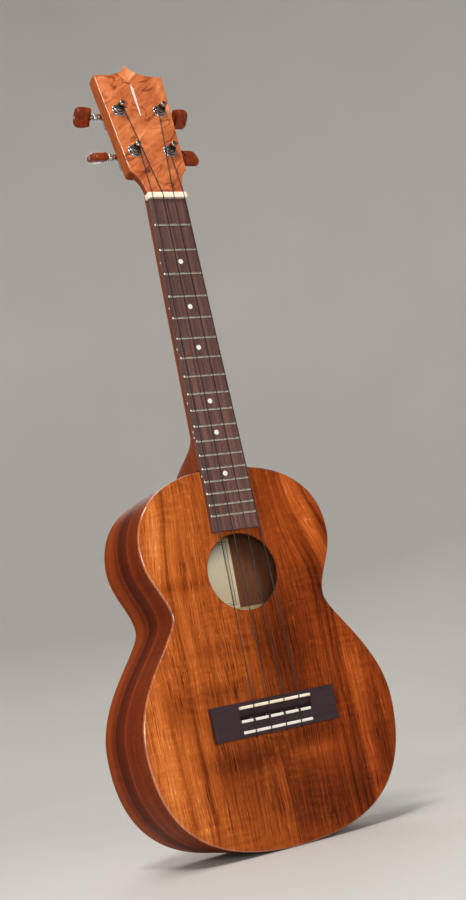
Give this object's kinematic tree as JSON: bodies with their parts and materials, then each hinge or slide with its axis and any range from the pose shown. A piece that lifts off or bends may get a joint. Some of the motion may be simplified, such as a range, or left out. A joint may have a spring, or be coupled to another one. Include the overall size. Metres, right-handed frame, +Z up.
{
  "type": "ukulele",
  "caption": "Tenor ukulele with a waisted hollow wooden body, fretted neck, tilted headstock and geared tuning machines that turn the string posts.",
  "frame": {"origin": "where a wall hanger's yoke carries the headstock, on the centre line, in the plane of the soundboard's face", "axes": "+Z up along the neck, -Y out of the soundboard, +X towards the treble side"},
  "size_m": [0.2274, 0.0999, 0.6894],
  "materials": {
    "koa_top": "satin lacquer, straight figured grain",
    "koa_side": "gloss lacquer",
    "mahogany": "satin lacquer",
    "veneer": "gloss lacquer, burl figure",
    "button_wood": "gloss lacquer",
    "rosewood": "oiled",
    "spruce": "bare",
    "bone": "polished",
    "paper": "matt",
    "chrome": "polished",
    "nickel_silver": "polished",
    "nylon": "smooth"
  },
  "bodies": {
    "instrument": {"soundboard": "koa_top", "back": "koa_side", "treble_side": "koa_side", "bass_side": "koa_side", "head_block": "mahogany", "tail_block": "mahogany", "top_bracing": "spruce", "back_brace_waist": "spruce", "back_brace_lower": "spruce", "label": "paper", "fingerboard": "rosewood", "fret_01": "nickel_silver", "fret_02": "nickel_silver", "fret_03": "nickel_silver", "fret_04": "nickel_silver", "fret_05": "nickel_silver", "fret_06": "nickel_silver", "fret_07": "nickel_silver", "fret_08": "nickel_silver", "fret_09": "nickel_silver", "fret_10": "nickel_silver", "fret_11": "nickel_silver", "fret_12": "nickel_silver", "fret_13": "nickel_silver", "fret_14": "nickel_silver", "fret_15": "nickel_silver", "fret_16": "nickel_silver", "fret_17": "nickel_silver", "fret_18": "nickel_silver", "nut": "bone", "bridge": "rosewood", "saddle": "bone", "tie_strip_upper": "bone", "tie_strip_lower": "bone", "headplate": "veneer", "neck": "mahogany", "tuner_1_housing": "chrome", "tuner_1_bushing": "chrome", "tuner_2_housing": "chrome", "tuner_2_bushing": "chrome", "tuner_3_housing": "chrome", "tuner_3_bushing": "chrome", "tuner_4_housing": "chrome", "tuner_4_bushing": "chrome", "string_1": "nylon", "string_2": "nylon", "string_3": "nylon", "string_4": "nylon"},
    "tuner_1_knob": {"tuner_1_worm_shaft": "chrome", "tuner_1_button": "button_wood"},
    "tuner_1_post": {"tuner_1_string_post": "chrome"},
    "tuner_2_knob": {"tuner_2_worm_shaft": "chrome", "tuner_2_button": "button_wood"},
    "tuner_2_post": {"tuner_2_string_post": "chrome"},
    "tuner_3_knob": {"tuner_3_worm_shaft": "chrome", "tuner_3_button": "button_wood"},
    "tuner_3_post": {"tuner_3_string_post": "chrome"},
    "tuner_4_knob": {"tuner_4_worm_shaft": "chrome", "tuner_4_button": "button_wood"},
    "tuner_4_post": {"tuner_4_string_post": "chrome"}
  },
  "joints": [
    {"name": "tuner_1_knob_turn", "type": "hinge", "parent": "instrument", "child": "tuner_1_knob", "pos_m": [-0.017, 0.02356, 0.03296], "axis": [-1, 0, 0], "continuous": true},
    {"name": "tuner_1_post_turn", "type": "hinge", "parent": "instrument", "child": "tuner_1_post", "pos_m": [-0.017, 0.0051, 0.03085], "axis": [0, -0.9793, 0.2023], "continuous": true},
    {"name": "tuner_2_knob_turn", "type": "hinge", "parent": "instrument", "child": "tuner_2_knob", "pos_m": [-0.0198, 0.0324, 0.07576], "axis": [-1, 0, 0], "continuous": true},
    {"name": "tuner_2_post_turn", "type": "hinge", "parent": "instrument", "child": "tuner_2_post", "pos_m": [-0.0198, 0.01394, 0.07365], "axis": [0, -0.9793, 0.2023], "continuous": true},
    {"name": "tuner_3_knob_turn", "type": "hinge", "parent": "instrument", "child": "tuner_3_knob", "pos_m": [0.0198, 0.0324, 0.07576], "axis": [1, 0, 0], "continuous": true},
    {"name": "tuner_3_post_turn", "type": "hinge", "parent": "instrument", "child": "tuner_3_post", "pos_m": [0.0198, 0.01394, 0.07365], "axis": [0, -0.9793, 0.2023], "continuous": true},
    {"name": "tuner_4_knob_turn", "type": "hinge", "parent": "instrument", "child": "tuner_4_knob", "pos_m": [0.017, 0.02356, 0.03296], "axis": [1, 0, 0], "continuous": true},
    {"name": "tuner_4_post_turn", "type": "hinge", "parent": "instrument", "child": "tuner_4_post", "pos_m": [0.017, 0.0051, 0.03085], "axis": [0, -0.9793, 0.2023], "continuous": true}
  ],
  "couplings": [
    {"joint": "tuner_1_post_turn", "follows": "tuner_1_knob_turn", "ratio": 0.071429},
    {"joint": "tuner_2_post_turn", "follows": "tuner_2_knob_turn", "ratio": 0.071429},
    {"joint": "tuner_3_post_turn", "follows": "tuner_3_knob_turn", "ratio": 0.071429},
    {"joint": "tuner_4_post_turn", "follows": "tuner_4_knob_turn", "ratio": 0.071429}
  ]
}
